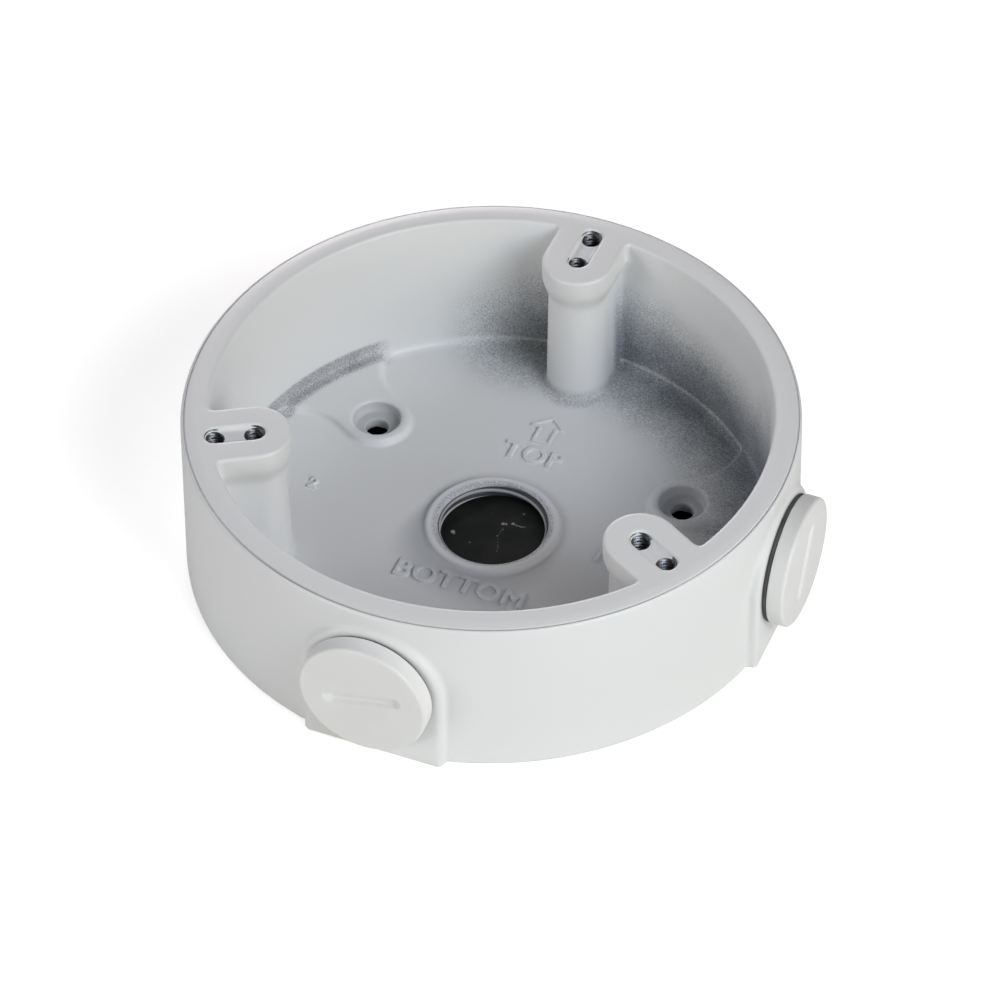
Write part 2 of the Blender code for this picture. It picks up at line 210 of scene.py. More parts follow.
def noise(tree, place, size, detail, roughness=0.5):
    # a pattern with features of this size in millimetres
    return addNode(tree, "ShaderNodeTexNoise", {}, {
        "Vector": place, "Scale": perMillimetre(size), "Detail": detail, "Roughness": roughness}).outputs


def mixed(tree, share, first, second):
    # from the first colour to the second
    return addNode(tree, "ShaderNodeMix", {"data_type": "RGBA"}, {
        "Factor": share, 6: first, 7: second}).outputs[2]


# White polyester powder coat on die-cast aluminium: an even, slightly chalky white with a faint
# orange peel, thin and speckled grey in the deep corners; these greys also paint shade there and in the
# hollows
coat = {
    "full": "e4e5e5", "thin": "787d84", "threadGrooveShade": "3c3e41", "roughness": 0.4, "thinRoughness": 0.6,
    "peelSize": 1.4, "peelDepth": 0.012, "grainSize": 0.3, "grainDepth": 0.05,
    "speckleSize": 0.28, "speckle": 1.8, "cloudSize": 6.0, "cloud": 0.5,
    # how far the thin powder and painted shade reach in millimetres: up the wall, more in two corners, across
    # the floor, and round the rear ring
    "wallRadius": 49.7, "floorHeight": 3.2, "wallReach": 21.0, "farReach": 4.0, "rightReach": 14.0,
    "floorReach": 18.0, "haloReach": 1.9, "haloMore": 7.5,
    # how strong each zone of thin powder and painted shade is, and how much of the corner darkening the far
    # wall is spared
    "foot": 0.6, "postFoot": 0.34, "recess": 0.4, "lip": 0.36, "fillet": 0.36, "groove": 0.6, "bore": 0.55,
    "halo": 0.2, "haloShade": 0.24, "farKept": 0.18,
    # sectors from the middle: direction in degrees, then the cosines where each begins and is full
    "shadySide": (58, 0.38, 0.76), "farCorner": (88, 0.93, 0.975), "farWall": (95, 0.87, 0.96),
    "rightCorner": (12, 0.87, 0.995), "footSide": (153, 0.945, 0.972), "haloSide": (262, 0.0, 1.0),
    "shadeSide": (212, -0.6, 0.6), "lineSide": (283, 0.62, 0.88),
    "farPost": (0, 42, 0),
}


def thinPowderAndShade(tree, place):
    # three shares from 0 to 1: speckled thin powder with painted shade, even painted shade with some thin
    # powder, and painted shade in the rear thread's groove
    millimetres = vectorMaths(tree, "DIVIDE", place, (toMetres, toMetres, toMetres))
    split = addNode(tree, "ShaderNodeSeparateXYZ", {}, {0: millimetres}).outputs
    height = split["Z"]
    flat = addNode(tree, "ShaderNodeCombineXYZ", {}, {"X": split["X"], "Y": split["Y"]}).outputs[0]
    radius = vectorMaths(tree, "LENGTH", flat)
    heading = vectorMaths(tree, "NORMALIZE", flat)

    def towards(side):
        # 1 in this direction from the middle, 0 outside its sector
        degrees, start, end = coat[side]
        aim = (math.cos(math.radians(degrees)), math.sin(math.radians(degrees)), 0)
        return ramp(tree, vectorMaths(tree, "DOT_PRODUCT", heading, aim), start, end)

    def chained(operation, whole, *shares):
        for share in shares:
            whole = maths(tree, operation, whole, share)
        return whole

    def times(*shares):
        return chained("MULTIPLY", *shares)

    def largest(*shares):
        return chained("MAXIMUM", *shares)

    def raised(share, more, least):
        return maths(tree, "MULTIPLY_ADD", share, more, least)

    def band(value, middle, outer, inner):
        return ramp(tree, maths(tree, "ABSOLUTE", maths(tree, "SUBTRACT", value, middle)), outer, inner)

    # limits from here on are millimetres from the middle, the wall, the floor or the post
    # the far side of the cup is darkest, with thin speckled powder and painted shade, reaching highest up the
    # wall in the corners beside the posts
    awayFromFloor = maths(tree, "SUBTRACT", height, coat["floorHeight"])
    awayFromWall = maths(tree, "SUBTRACT", coat["wallRadius"], radius)
    reach = raised(towards("farCorner"), coat["farReach"], coat["wallReach"])
    reach = raised(towards("rightCorner"), coat["rightReach"], reach)
    upWall = ramp(tree, awayFromFloor, reach, 3.0)
    acrossFloor = ramp(tree, awayFromWall, coat["floorReach"], -2.0)
    toPost = vectorMaths(tree, "DISTANCE", flat, coat["farPost"])
    offPost = largest(ramp(tree, toPost, 6.2, 8.2), ramp(tree, height, 4.6, 3.6))
    kept = raised(towards("farWall"), -coat["farKept"], 1.0)
    corner = times(towards("shadySide"), upWall, acrossFloor, offPost, kept)
    # thin speckled powder and painted shade at the foot of the left wall and of the far post
    foot = times(towards("footSide"), ramp(tree, height, 7.9, 6.9), ramp(tree, radius, 46.8, 48.2))
    foot = times(foot, coat["foot"])
    postFoot = times(ramp(tree, toPost, 9.0, 6.6), ramp(tree, height, 6.0, 3.6), coat["postFoot"])
    # the screw recesses are darker: thin powder there, and painted shade
    recess = 0.0
    for angle in boss["angles"]:
        a = math.radians(angle)
        middle = (boss["circle"] * math.cos(a), boss["circle"] * math.sin(a), 0)
        recess = largest(ramp(tree, vectorMaths(tree, "DISTANCE", flat, middle), 4.7, 4.2), recess)
    recess = times(recess, ramp(tree, height, 4.6, 4.1), coat["recess"])
    # painted shade on the lip of the rear entry, and a halo of painted shade on the floor round its ring that
    # is widest at the front
    lip = times(band(radius, 10.3, 1.1, 0.3), coat["lip"])
    haloWidth = raised(towards("haloSide"), coat["haloMore"], coat["haloReach"])
    halo = times(
        ramp(tree, maths(tree, "SUBTRACT", radius, 12.6), haloWidth, 0.0), ramp(tree, radius, 11.6, 12.8),
        raised(towards("shadeSide"), coat["haloShade"], coat["halo"]),
    )
    speckledThinAndShade = largest(corner, foot, postFoot, lip)
    # a painted highlight runs along the fillet between wall and floor, and the rim is kept free of thin
    # powder and painted shade
    line = times(band(height, 4.3, 0.42, 0.15), ramp(tree, radius, 48.6, 49.0), coat["fillet"])
    speckledThinAndShade = times(speckledThinAndShade, maths(tree, "SUBTRACT", 1.0, line), ramp(tree, radius, 51.0, 50.3))
    # painted shade in the fine groove round the rim's edge, at the front
    groove = times(
        band(radius, housing["lineRadius"], 0.2, 0.1), ramp(tree, height, 31.6, 31.9),
        towards("lineSide"), coat["groove"],
    )
    # painted shade down the rear bore's wall, darkest in the thread's groove
    bore = times(ramp(tree, radius, 9.95, 9.75), ramp(tree, height, 3.5, 3.3), coat["bore"])
    paintedGrooveShade = times(ramp(tree, height, 3.6, 3.4), band(radius, 10.15, 0.5, 0.3))
    return speckledThinAndShade, largest(halo, recess, groove, bore), paintedGrooveShade


def powderCoat():
    material, tree, place = startMaterial("white polyester powder coat")
    speckledThinAndShade, evenShadeAndThin, threadGrooveShade = thinPowderAndShade(tree, place)
    speckle = noise(tree, place, coat["speckleSize"], 1.5, 0.8)["Fac"]
    cloud = noise(tree, place, coat["cloudSize"], 3.0)["Fac"]
    fine = maths(tree, "MULTIPLY_ADD", speckle, coat["speckle"], -coat["speckle"] / 2)
    drift = maths(tree, "MULTIPLY_ADD", cloud, coat["cloud"], -coat["cloud"] / 2)
    uneven = maths(tree, "MULTIPLY", maths(tree, "ADD", fine, drift), ramp(tree, speckledThinAndShade, 0.0, 0.3))
    thinnessAndShade = addNode(tree, "ShaderNodeMath", {"operation": "ADD", "use_clamp": True}, {0: speckledThinAndShade, 1: uneven})
    thinnessAndShade = maths(tree, "MAXIMUM", thinnessAndShade.outputs[0], evenShadeAndThin)
    # the white turns grey where the powder is thin and where shade is painted
    paint = mixed(tree, thinnessAndShade, colour(coat["full"]), colour(coat["thin"]))
    # painted shade in the rear thread's groove
    paint = mixed(tree, threadGrooveShade, paint, colour(coat["threadGrooveShade"]))
    peel = noise(tree, place, coat["peelSize"], 2.0, 0.45)["Fac"]
    peelBump = addNode(tree, "ShaderNodeBump", {}, {
        "Strength": 0.55, "Distance": coat["peelDepth"] * toMetres, "Height": peel})
    grain = noise(tree, place, coat["grainSize"], 2.0)["Fac"]
    grainBump = addNode(tree, "ShaderNodeBump", {}, {
        "Strength": maths(tree, "MULTIPLY_ADD", speckledThinAndShade, 0.85, 0.1), "Distance": coat["grainDepth"] * toMetres,
        "Height": grain, "Normal": peelBump.outputs[0]})
    extra = coat["thinRoughness"] - coat["roughness"]
    shader = addNode(tree, "ShaderNodeBsdfPrincipled", {}, {
        "Base Color": paint, "Roughness": maths(tree, "MULTIPLY_ADD", thinnessAndShade, extra, coat["roughness"]),
        "IOR": 1.5, "Normal": grainBump.outputs[0]})
    addNode(tree, "ShaderNodeOutputMaterial", {}, {"Surface": shader.outputs[0]})
    return material


# White coat on the turned plugs: a touch whiter and smoother than the housing's
plugCoat = {"base": "eaeae9", "shade": "e3e3e2", "roughness": 0.38, "peelSize": 1.1, "peelDepth": 0.008}


def plugFinish():
    material, tree, place = startMaterial("white coated plug metal")
    cloud = noise(tree, place, 9, 2.0)["Fac"]
    peel = noise(tree, place, plugCoat["peelSize"], 2.0)["Fac"]
    bump = addNode(tree, "ShaderNodeBump", {}, {
        "Strength": 0.5, "Distance": plugCoat["peelDepth"] * toMetres, "Height": peel})
    shader = addNode(tree, "ShaderNodeBsdfPrincipled", {}, {
        "Base Color": mixed(tree, cloud, colour(plugCoat["base"]), colour(plugCoat["shade"])),
        "Roughness": plugCoat["roughness"], "IOR": 1.5, "Normal": bump.outputs[0]})
    addNode(tree, "ShaderNodeOutputMaterial", {}, {"Surface": shader.outputs[0]})
    return material


# Flecks of white powder and a pale hair that lie on the black cap: x, y, size in millimetres, strength
flecks = (
    (-6.98, -1.95, 0.53, 0.9), (-6.6, -2.3, 0.28, 0.58), (0.68, 3.31, 0.43, 0.87),
    (1.25, 3.42, 0.38, 0.65), (2.37, 3.98, 0.38, 0.87), (2.8, 3.86, 0.25, 0.58),
    (3.24, 3.76, 0.25, 0.72), (3.65, 3.77, 0.2, 0.65), (4.01, 3.79, 0.25, 0.87), (4.4, 3.85, 0.2, 0.58),
    (4.73, 3.94, 0.19, 0.43), (3.31, 6.99, 0.28, 0.65), (1.2, 1.95, 0.25, 0.51), (1, 1.4, 0.2, 0.43),
    (0.97, 0.8, 0.2, 0.43), (0.9, 0.05, 0.28, 0.51), (1.3, -0.6, 0.18, 0.29), (1.6, -1.4, 0.19, 0.43),
    (1.9, -2.1, 0.18, 0.36), (2.11, -2.62, 0.19, 0.43), (2.2, -3.2, 0.16, 0.36),
    (2.24, -3.67, 0.18, 0.43), (-3.17, -3.34, 0.3, 0.43), (-2.2, 5, 0.15, 0.29),
)
fleckHeight = 1.17  # just under the cap's face


# Black rubber: a dull charcoal with a soft sheen and a dusting of white powder
def rubber(name, base, dust, roughness, dustAmount, spots=()):
    material, tree, place = startMaterial(name)
    specks = noise(tree, place, 0.5, 3.0, 0.65)
    haze = noise(tree, place, 5, 3.0)
    hazeShare = addNode(tree, "ShaderNodeMapRange", {}, {
        "Value": haze["Fac"], "From Min": 0.45, "From Max": 0.8, "To Max": dustAmount})
    speckShare = addNode(tree, "ShaderNodeMapRange", {}, {
        "Value": specks["Fac"], "From Min": 0.66, "From Max": 0.78, "To Max": dustAmount})
    share = maths(tree, "MAXIMUM", hazeShare.outputs[0], speckShare.outputs[0])
    paint = mixed(tree, share, colour(base), colour(dust))
    if spots:
        # a little noise makes the flecks' outlines ragged, and its mean shift is taken off again
        raggedness = 0.4
        drift = (raggedness * toMetres, raggedness * toMetres, 0)
        ragged = vectorMaths(tree, "MULTIPLY_ADD", specks["Color"], drift, place)
        whole = 0.0
        for x, y, size, strength in spots:
            spot = Vector((x + raggedness / 2, y + raggedness / 2, fleckHeight)) * toMetres
            away = vectorMaths(tree, "DISTANCE", ragged, spot)
            fleck = ramp(tree, away, size * toMetres, size * 0.3 * toMetres, 0.0, strength)
            whole = maths(tree, "MAXIMUM", fleck, whole)
        paint = mixed(tree, whole, paint, colour("b4b8b4"))
    grain = noise(tree, place, 0.4, 2.0)["Fac"]
    bump = addNode(tree, "ShaderNodeBump", {}, {
        "Strength": 0.4, "Distance": 0.02 * toMetres, "Height": grain})
    shader = addNode(tree, "ShaderNodeBsdfPrincipled", {}, {
        "Base Color": paint, "Roughness": roughness, "IOR": 1.52, "Normal": bump.outputs[0]})
    addNode(tree, "ShaderNodeOutputMaterial", {}, {"Surface": shader.outputs[0]})
    return material


# Tapped aluminium, cut after coating: dark grey metal with bright crests
def tappedMetal():
    material, tree, place = startMaterial("tapped die-cast aluminium")
    grime = noise(tree, place, 0.8, 2.0)["Fac"]
    roughness = addNode(tree, "ShaderNodeMapRange", {}, {"Value": grime, "To Min": 0.28, "To Max": 0.5})
    shader = addNode(tree, "ShaderNodeBsdfPrincipled", {}, {
        "Base Color": mixed(tree, grime, colour("5d5f62"), colour("85878a")),
        "Roughness": roughness.outputs[0], "Metallic": 1.0})
    addNode(tree, "ShaderNodeOutputMaterial", {}, {"Surface": shader.outputs[0]})
    return material


plugMaterial = plugFinish()
gasketMaterial = rubber("black gasket rubber", "3c3c3a", "8d8d88", 0.7, 0.25)
discMaterial = rubber("black cap rubber", "121412", "3a3d34", 0.5, 0.5, flecks)
tappedMaterial = tappedMetal()
print("materials ready")


# Threads

def threadTree():
    # a rod whose wall follows a helix, set at every point of its object along that point's aim
    tree = bpy.data.node_groups.new("threaded rods", "GeometryNodeTree")
    tree.interface.new_socket("Geometry", in_out="INPUT", socket_type="NodeSocketGeometry")
    sizes = {"Radius": 1.0, "Depth": 0.2, "Pitch": 0.7, "Length": 5.0, "Fade": 0.5}
    for name, value in sizes.items():
        tree.interface.new_socket(name, in_out="INPUT", socket_type="NodeSocketFloat").default_value = value
    for name, value in {"Facets": 24, "Rows": 40}.items():
        tree.interface.new_socket(name, in_out="INPUT", socket_type="NodeSocketInt").default_value = value
    tree.interface.new_socket("Material", in_out="INPUT", socket_type="NodeSocketMaterial")
    tree.interface.new_socket("Geometry", in_out="OUTPUT", socket_type="NodeSocketGeometry")
    given = addNode(tree, "NodeGroupInput", {}, {}).outputs
    rod = addNode(tree, "GeometryNodeMeshCylinder", {"fill_type": "NGON"}, {
        "Vertices": given["Facets"], "Side Segments": given["Rows"], "Radius": 1.0, "Depth": given["Length"]})
    point = addNode(tree, "GeometryNodeInputPosition", {}, {}).outputs[0]
    split = addNode(tree, "ShaderNodeSeparateXYZ", {}, {0: point}).outputs
    turns = maths(tree, "DIVIDE", maths(tree, "ARCTAN2", split["Y"], split["X"]), 2 * math.pi)
    climb = maths(tree, "DIVIDE", split["Z"], given["Pitch"])
    # a rounded V: the groove's depth goes up and down once in each pitch
    wave = maths(tree, "PINGPONG", maths(tree, "SUBTRACT", climb, turns), 0.5)
    half = maths(tree, "MULTIPLY", given["Length"], 0.5)
    left = maths(tree, "SUBTRACT", half, maths(tree, "ABSOLUTE", split["Z"]))
    share = maths(tree, "MULTIPLY", ramp(tree, wave, 0.08, 0.42), ramp(tree, left, 0.0, given["Fade"]))
    reach = maths(tree, "MULTIPLY_ADD", share, given["Depth"], given["Radius"])
    spread = addNode(tree, "ShaderNodeCombineXYZ", {}, {"X": reach, "Y": reach, "Z": 1.0})
    moved = vectorMaths(tree, "MULTIPLY", point, spread.outputs[0])
    shaped = addNode(tree, "GeometryNodeSetPosition", {}, {
        "Geometry": rod.outputs["Mesh"], "Position": moved})
    aim = addNode(tree, "GeometryNodeInputNamedAttribute", {"data_type": "FLOAT_VECTOR"}, {"Name": "aim"})
    turn = addNode(tree, "FunctionNodeAlignRotationToVector", {"axis": "Z"}, {"Vector": aim.outputs[0]})
    placed = addNode(tree, "GeometryNodeInstanceOnPoints", {}, {
        "Points": given["Geometry"], "Instance": shaped.outputs[0], "Rotation": turn.outputs[0]})
    real = addNode(tree, "GeometryNodeRealizeInstances", {}, {"Geometry": placed.outputs[0]})
    painted = addNode(tree, "GeometryNodeSetMaterial", {}, {
        "Geometry": real.outputs[0], "Material": given["Material"]})
    addNode(tree, "NodeGroupOutput", {}, {0: painted.outputs[0]})
    return tree


threads = threadTree()


def threadedRods(name, places, sizes):
    # places are (point, aim) pairs; sizes are the tree's inputs by name
    mesh = bpy.data.meshes.new(name)
    mesh.from_pydata([point for point, _ in places], [], [])
    aims = mesh.attributes.new("aim", "FLOAT_VECTOR", "POINT")
    for item, (_, aim) in zip(aims.data, places):
        item.vector = aim
    rods = newObject(name, mesh)
    change = rods.modifiers.new("threads", "NODES")
    change.node_group = threads
    for item in threads.interface.items_tree:
        if item.in_out == "INPUT" and item.name in sizes:
            change[item.identifier] = sizes[item.name]
    bake(rods)
    return rods


# Housing

housing = {
    "radius": 55.0, "height": 33.0, "draft": 0.9, "rimWidth": 4.9, "crownWidth": 3.1, "crownDrop": 0.55,
    "lineRadius": 54.4, "lineWidth": 0.46, "rimEdge": 0.4, "lipHeight": 3.9, "lipStep": 0.4,
    "floor": 3.2, "fillet": 1.8, "baseEdge": 0.4, "steps": 288, "voxel": 0.3, "smoothing": 3,
    "faces": 150000, "cornerRounds": 14, "outerEdge": 0.3,
}
rearEntry = {
    "radius": 9.5, "chamfer": 0.45, "rise": 0.3, "ringRadius": 12.3, "ringHeight": 1.0, "ringEdge": 0.5,
    "threadBottom": 1.0, "threadLength": 6.3, "threadDepth": 0.85, "threadPitch": 1.8,
    "pocketRadius": 13.3, "pocketDepth": 1.5,
}
post = {
    "angles": (90, 210, 330), "circle": 42.0, "pitch": 7.05, "holeRadius": 1.65, "holeDepth": 12.0,
    "headRadius": 6.6, "headHeight": 8.0, "headEdge": 0.5, "headTaper": 4.4, "bodyInset": 1.2, "draft": 1.0,
    "fillet": 1.4, "headRounds": 42, "slotRadius": 1.9, "slotDepth": 1.0,
    "threadDepth": 0.32, "threadPitch": 0.7,
}
boss = {
    "angles": (30, 150, 270), "circle": 34.8, "radius": 6.2, "height": 1.5, "edge": 0.4, "slope": 14.0,
    "flareStart": 38.2, "flareRadius": 10.5, "rootOverlap": 1.0, "holeRadius": 2.1, "headRadius": 4.4,
    "headDepth": 2.5,
}
entry = {
    "radius": 10.5, "height": 16.0, "padRadius": 13.2, "padReach": 55.55, "padEdge": 1.1,
    "padRounds": 18, "depth": 7.0, "threadLength": 12.0, "threadDepth": 0.5, "threadPitch": 1.814,
    "directions": (("bottom", 270), ("right", 0)),
}
baseRadius = housing["radius"] + housing["height"] * math.tan(math.radians(housing["draft"])) - 0.02
rimInner = housing["radius"] - housing["rimWidth"]
wallInner = rimInner - housing["lipStep"]
wallMiddle = (wallInner + housing["radius"]) / 2
over = 2.0  # cutters and roots pass the faces that they meet by this much
coatMaterial = powderCoat()  # its thin zones follow the housing's sizes


def cupMesh():
    top = housing["height"]
    crown = top - housing["crownDrop"]
    edge = housing["outerEdge"]
    baseEdge = housing["baseEdge"]
    floor = housing["floor"]
    crownWidth = housing["crownWidth"]
    profile = []
    crownSteps = 9
    for step in range(crownSteps):
        # flat, then ever steeper towards the rim's outer edge
        share = step / crownSteps
        reach = housing["radius"] - crownWidth + (crownWidth - edge) * share
        profile.append((reach, top - housing["crownDrop"] * share ** 2))
    profile += arcPoints(housing["radius"] - edge, crown - edge, edge, 80, 0, 3)
    profile += arcPoints(baseRadius - baseEdge, baseEdge, baseEdge, 0, -90, 4)
    ringTop = floor + rearEntry["ringHeight"]
    mouth = floor + rearEntry["rise"]
    flare = rearEntry["radius"] + rearEntry["chamfer"]
    pilot = rearEntry["radius"] - over / 2  # the bore is tapped out to its size later
    profile += [
        (rearEntry["pocketRadius"], 0), (rearEntry["pocketRadius"], rearEntry["pocketDepth"]),
        (pilot, rearEntry["pocketDepth"]), (pilot, mouth - 0.6),
        (rearEntry["radius"], mouth - rearEntry["chamfer"]),
        (flare, mouth), (flare + 0.5, ringTop - 0.17),
    ]
    ringEdge = rearEntry["ringEdge"]
    profile += arcPoints(rearEntry["ringRadius"] - ringEdge, ringTop - ringEdge, ringEdge, 90, 0, 4)
    profile += arcPoints(rearEntry["ringRadius"] + ringEdge, floor + ringEdge, ringEdge, 180, 270, 4)
    fillet = housing["fillet"]
    profile += arcPoints(wallInner - fillet, floor + fillet, fillet, -90, 0, 8)
    profile.append((wallInner, top - housing["lipHeight"]))
    rimEdge = housing["rimEdge"]
    profile += arcPoints(rimInner + rimEdge, top - rimEdge, rimEdge, 180, 90, 4)
    return turnedMesh("cup", profile, housing["steps"], closed=True)


def postOutline(inset):
    # round towards the middle, then straight and flared into the wall
    half = post["headRadius"] - inset
    flare = post["fillet"] + inset
    flareX = wallInner - post["fillet"]
    flareY = post["headRadius"] + post["fillet"]
    outline = arcPoints(post["circle"], 0, half, 90, 270, 32)
    outline += arcPoints(flareX, -flareY, flare, 90, 0, 6)
    outline += [(wallMiddle, -flareY), (wallMiddle, flareY)]
    outline += arcPoints(flareX, flareY, flare, 0, -90, 6)
    return outline


def postMesh(angle):
    headBottom = housing["height"] - post["headHeight"]
    foot = post["bodyInset"] - (headBottom - housing["floor"]) * math.tan(math.radians(post["draft"]))
    inset = post["bodyInset"]
    edge = post["headEdge"]
    sections = [
        atHeight(postOutline(foot), housing["floor"] / 2),
        atHeight(postOutline(inset), headBottom),
    ]
    swellSteps = 8
    for step in range(1, swellSteps + 1):
        # the head swells from the body along a soft S
        share = step / swellSteps
        swell = share * share * (3 - 2 * share)
        sections.append(atHeight(postOutline(inset * (1 - swell)), headBottom + post["headTaper"] * share))
    for shrink, rise in arcPoints(edge, 0, edge, 180, 90, 4):
        sections.append(atHeight(postOutline(shrink), housing["height"] - edge + rise))
    return turned(loftedMesh("post", sections), angle)


def slotCutter(angle):
    outer = post["circle"] + post["pitch"]
    outline = arcPoints(post["circle"], 0, post["slotRadius"], 90, 270, 16)
    outline += arcPoints(outer, 0, post["slotRadius"], -90, 90, 16)
    bottom = housing["height"] - post["slotDepth"]
    heights = (bottom, housing["height"] + over)
    return turned(loftedMesh("slot", [atHeight(outline, height) for height in heights]), angle)


def bossOutline(inset):
    # round, then flared out to the wall by hollow flanks
    half = boss["radius"] - inset
    flare = boss["flareRadius"] + inset
    flareY = boss["radius"] + boss["flareRadius"]
    outline = arcPoints(boss["circle"], 0, half, 90, 270, 32)
    outline += arcPoints(boss["flareStart"], -flareY, flare, 90, 0, 12)
    root = wallInner + boss["rootOverlap"]
    outline += [(root, -flareY), (root, flareY)]
    outline += arcPoints(boss["flareStart"], flareY, flare, 0, -90, 12)
    return outline


def bossMesh(angle):
    root = housing["floor"] / 2
    top = housing["floor"] + boss["height"]
    spread = (top - root) * math.tan(math.radians(boss["slope"]))
    sections = [atHeight(bossOutline(-spread), root)]
    for shrink, rise in arcPoints(boss["edge"], 0, boss["edge"], 180, 90, 3):
        sections.append(atHeight(bossOutline(shrink), top - boss["edge"] + rise))
    return turned(loftedMesh("boss", sections), angle)


def screwCutter(angle):
    # through hole with a flat-bottomed recess for the screw's head
    top = housing["floor"] + boss["height"]
    seat = top - boss["headDepth"]
    profile = [
        (0, -over), (boss["holeRadius"], -over), (boss["holeRadius"], seat), (boss["headRadius"], seat),
        (boss["headRadius"], top + over), (0, top + over),
    ]
    mesh = turnedMesh("screw hole", profile, 47)
    mesh.transform(Matrix.Translation((boss["circle"], 0, 0)))
    return turned(mesh, angle)


def padMesh(direction):
    # the flat pad outside the wall and the flat boss inside it, one arch through the wall
    def arch(reach, outset):
        radius = entry["padRadius"] + outset
        points = [(reach, radius, 0)]
        points += [(reach, y, z) for y, z in arcPoints(0, entry["height"], radius, 0, 180, 40)]
        points.append((reach, -radius, 0))
        return points

    inner = entry["padReach"] - entry["depth"]
    edge = entry["padEdge"]
    sections = [arch(inner, -edge / 2), arch(inner + edge / 2, 0)]
    for outset, rise in arcPoints(-edge, 0, edge, 0, 90, 6):
        sections.append(arch(entry["padReach"] - edge + rise, outset))
    return turned(loftedMesh("pad", sections), direction)


def soften(thing, rounds, group=""):
    change = thing.modifiers.new("soften", "SMOOTH")
    change.factor = 0.5
    change.iterations = rounds
    change.vertex_group = group


def between(value, low, high, fade):
    # 1 inside these limits, falling to 0 over the fade inside each of them
    return min(1, max(0, (value - low) / fade)) * min(1, max(0, (high - value) / fade))


def castCorners(thing, rounds, low, high, inner, outer):
    # more rounding between these heights and radii, where the casting has its largest fillets
    group = thing.vertex_groups.new(name="cast corners")
    for vertex in thing.data.vertices:
        reach = math.hypot(vertex.co.x, vertex.co.y)
        weight = between(vertex.co.z, low, high, 0.8) * between(reach, inner, outer, 1.5)
        if weight > 0:
            group.add([vertex.index], weight, "REPLACE")
    soften(thing, rounds, group.name)
    bake(thing)
    thing.vertex_groups.clear()


def remesh(thing, voxel, smoothing, faces, corners=()):
    # one skin over all the solids, its corners rounded as a coat of powder rounds them
    skin = thing.modifiers.new("skin", "REMESH")
    skin.mode = "VOXEL"
    skin.voxel_size = voxel
    soften(thing, smoothing)
    bake(thing)
    for corner in corners:
        castCorners(thing, *corner)
    count = sum(len(face.vertices) - 2 for face in thing.data.polygons)
    if count > faces:
        thin = thing.modifiers.new("thin", "DECIMATE")
        thin.ratio = faces / count
        bake(thing)
    return thing


def rimLineCutter():
    # the fine line where the turned rim face ends, a V all round the outer edge
    middle = housing["height"] - housing["crownDrop"]
    half = housing["lineWidth"] / 2
    radius = housing["lineRadius"]
    profile = [
        (radius - half, middle + 1), (radius - half, middle), (radius - half / 3, middle - half),
        (radius + half / 3, middle - half), (radius + half, middle), (radius + half, middle + 1),
    ]
    return turnedMesh("rim line", profile, housing["steps"] + 1, closed=True)


def makeHousing():
    slots = [slotCutter(angle) for angle in post["angles"]]
    cutters = joined("cutters", slots + [screwCutter(angle) for angle in boss["angles"]])
    solids = [cupMesh()] + [postMesh(a) for a in post["angles"]] + [bossMesh(a) for a in boss["angles"]]
    solids += [padMesh(direction) for _, direction in entry["directions"]]
    parts = [newObject(mesh.name, mesh) for mesh in solids]
    for part in parts:
        combine(part, cutters, "DIFFERENCE")
    made = joined("diecast_housing", [part.data for part in parts])
    drop(cutters, *parts)
    voxel = housing["voxel"]
    headBottom = housing["height"] - post["headHeight"]
    # rounds, heights and radii of the floor's corners, of the post heads and of the entry pads
    corners = (
        (housing["cornerRounds"], housing["floor"] + 0.4, 11.0, 14.0, 51.5),
        (post["headRounds"], headBottom - 3.0, headBottom + 5.0, 14.0, 51.5),
        (entry["padRounds"], 0.6, 31.0, 51.5, 60.0),
    )
    remesh(made, voxel, housing["smoothing"], housing["faces"], corners)
    print("housing skin:", len(made.data.polygons), "faces")
    made.data.materials.clear()
    made.data.materials.append(coatMaterial)
    # machined after casting: tapped holes, the three threaded entries and the line on the rim
    slotFloor = housing["height"] - post["slotDepth"]
    length = post["holeDepth"] + over
    places = []
    for angle in post["angles"]:
        for reach in (post["circle"], post["circle"] + post["pitch"]):
            x = reach * math.cos(math.radians(angle))
            y = reach * math.sin(math.radians(angle))
            places.append(((x, y, slotFloor + over - length / 2), (0, 0, 1)))
    tapped = threadedRods("tapped holes", places, {
        "Radius": post["holeRadius"], "Depth": post["threadDepth"], "Pitch": post["threadPitch"],
        "Length": length, "Fade": 0.6, "Facets": 28, "Rows": 110, "Material": tappedMaterial})
    rearMiddle = rearEntry["threadBottom"] + rearEntry["threadLength"] / 2
    rear = threadedRods("rear thread", [((0, 0, rearMiddle), (0, 0, 1))], {
        "Radius": rearEntry["radius"], "Depth": rearEntry["threadDepth"], "Pitch": rearEntry["threadPitch"],
        "Length": rearEntry["threadLength"], "Fade": 0.2, "Facets": 96, "Rows": 76, "Material": coatMaterial})
    spots = []
    for _, direction in entry["directions"]:
        aim = (math.cos(math.radians(direction)), math.sin(math.radians(direction)), 0)
        reach = entry["padReach"] + 1 - entry["threadLength"] / 2
        spots.append(((aim[0] * reach, aim[1] * reach, entry["height"]), aim))
    sides = threadedRods("side threads", spots, {
        "Radius": entry["radius"], "Depth": entry["threadDepth"], "Pitch": entry["threadPitch"],
        "Length": entry["threadLength"], "Fade": 1.2, "Facets": 96, "Rows": 80, "Material": coatMaterial})
    line = newObject("rim line", rimLineCutter())
    line.data.materials.append(coatMaterial)
    for tool in (tapped, rear, sides, line):
        combine(made, tool, "DIFFERENCE")
    drop(tapped, rear, sides, line)
    return finishPiece(made, "box", "white_powder_coat", "housing")


diecast = makeHousing()
print("housing:", len(diecast.data.polygons), "faces")


# Side plugs and their gaskets

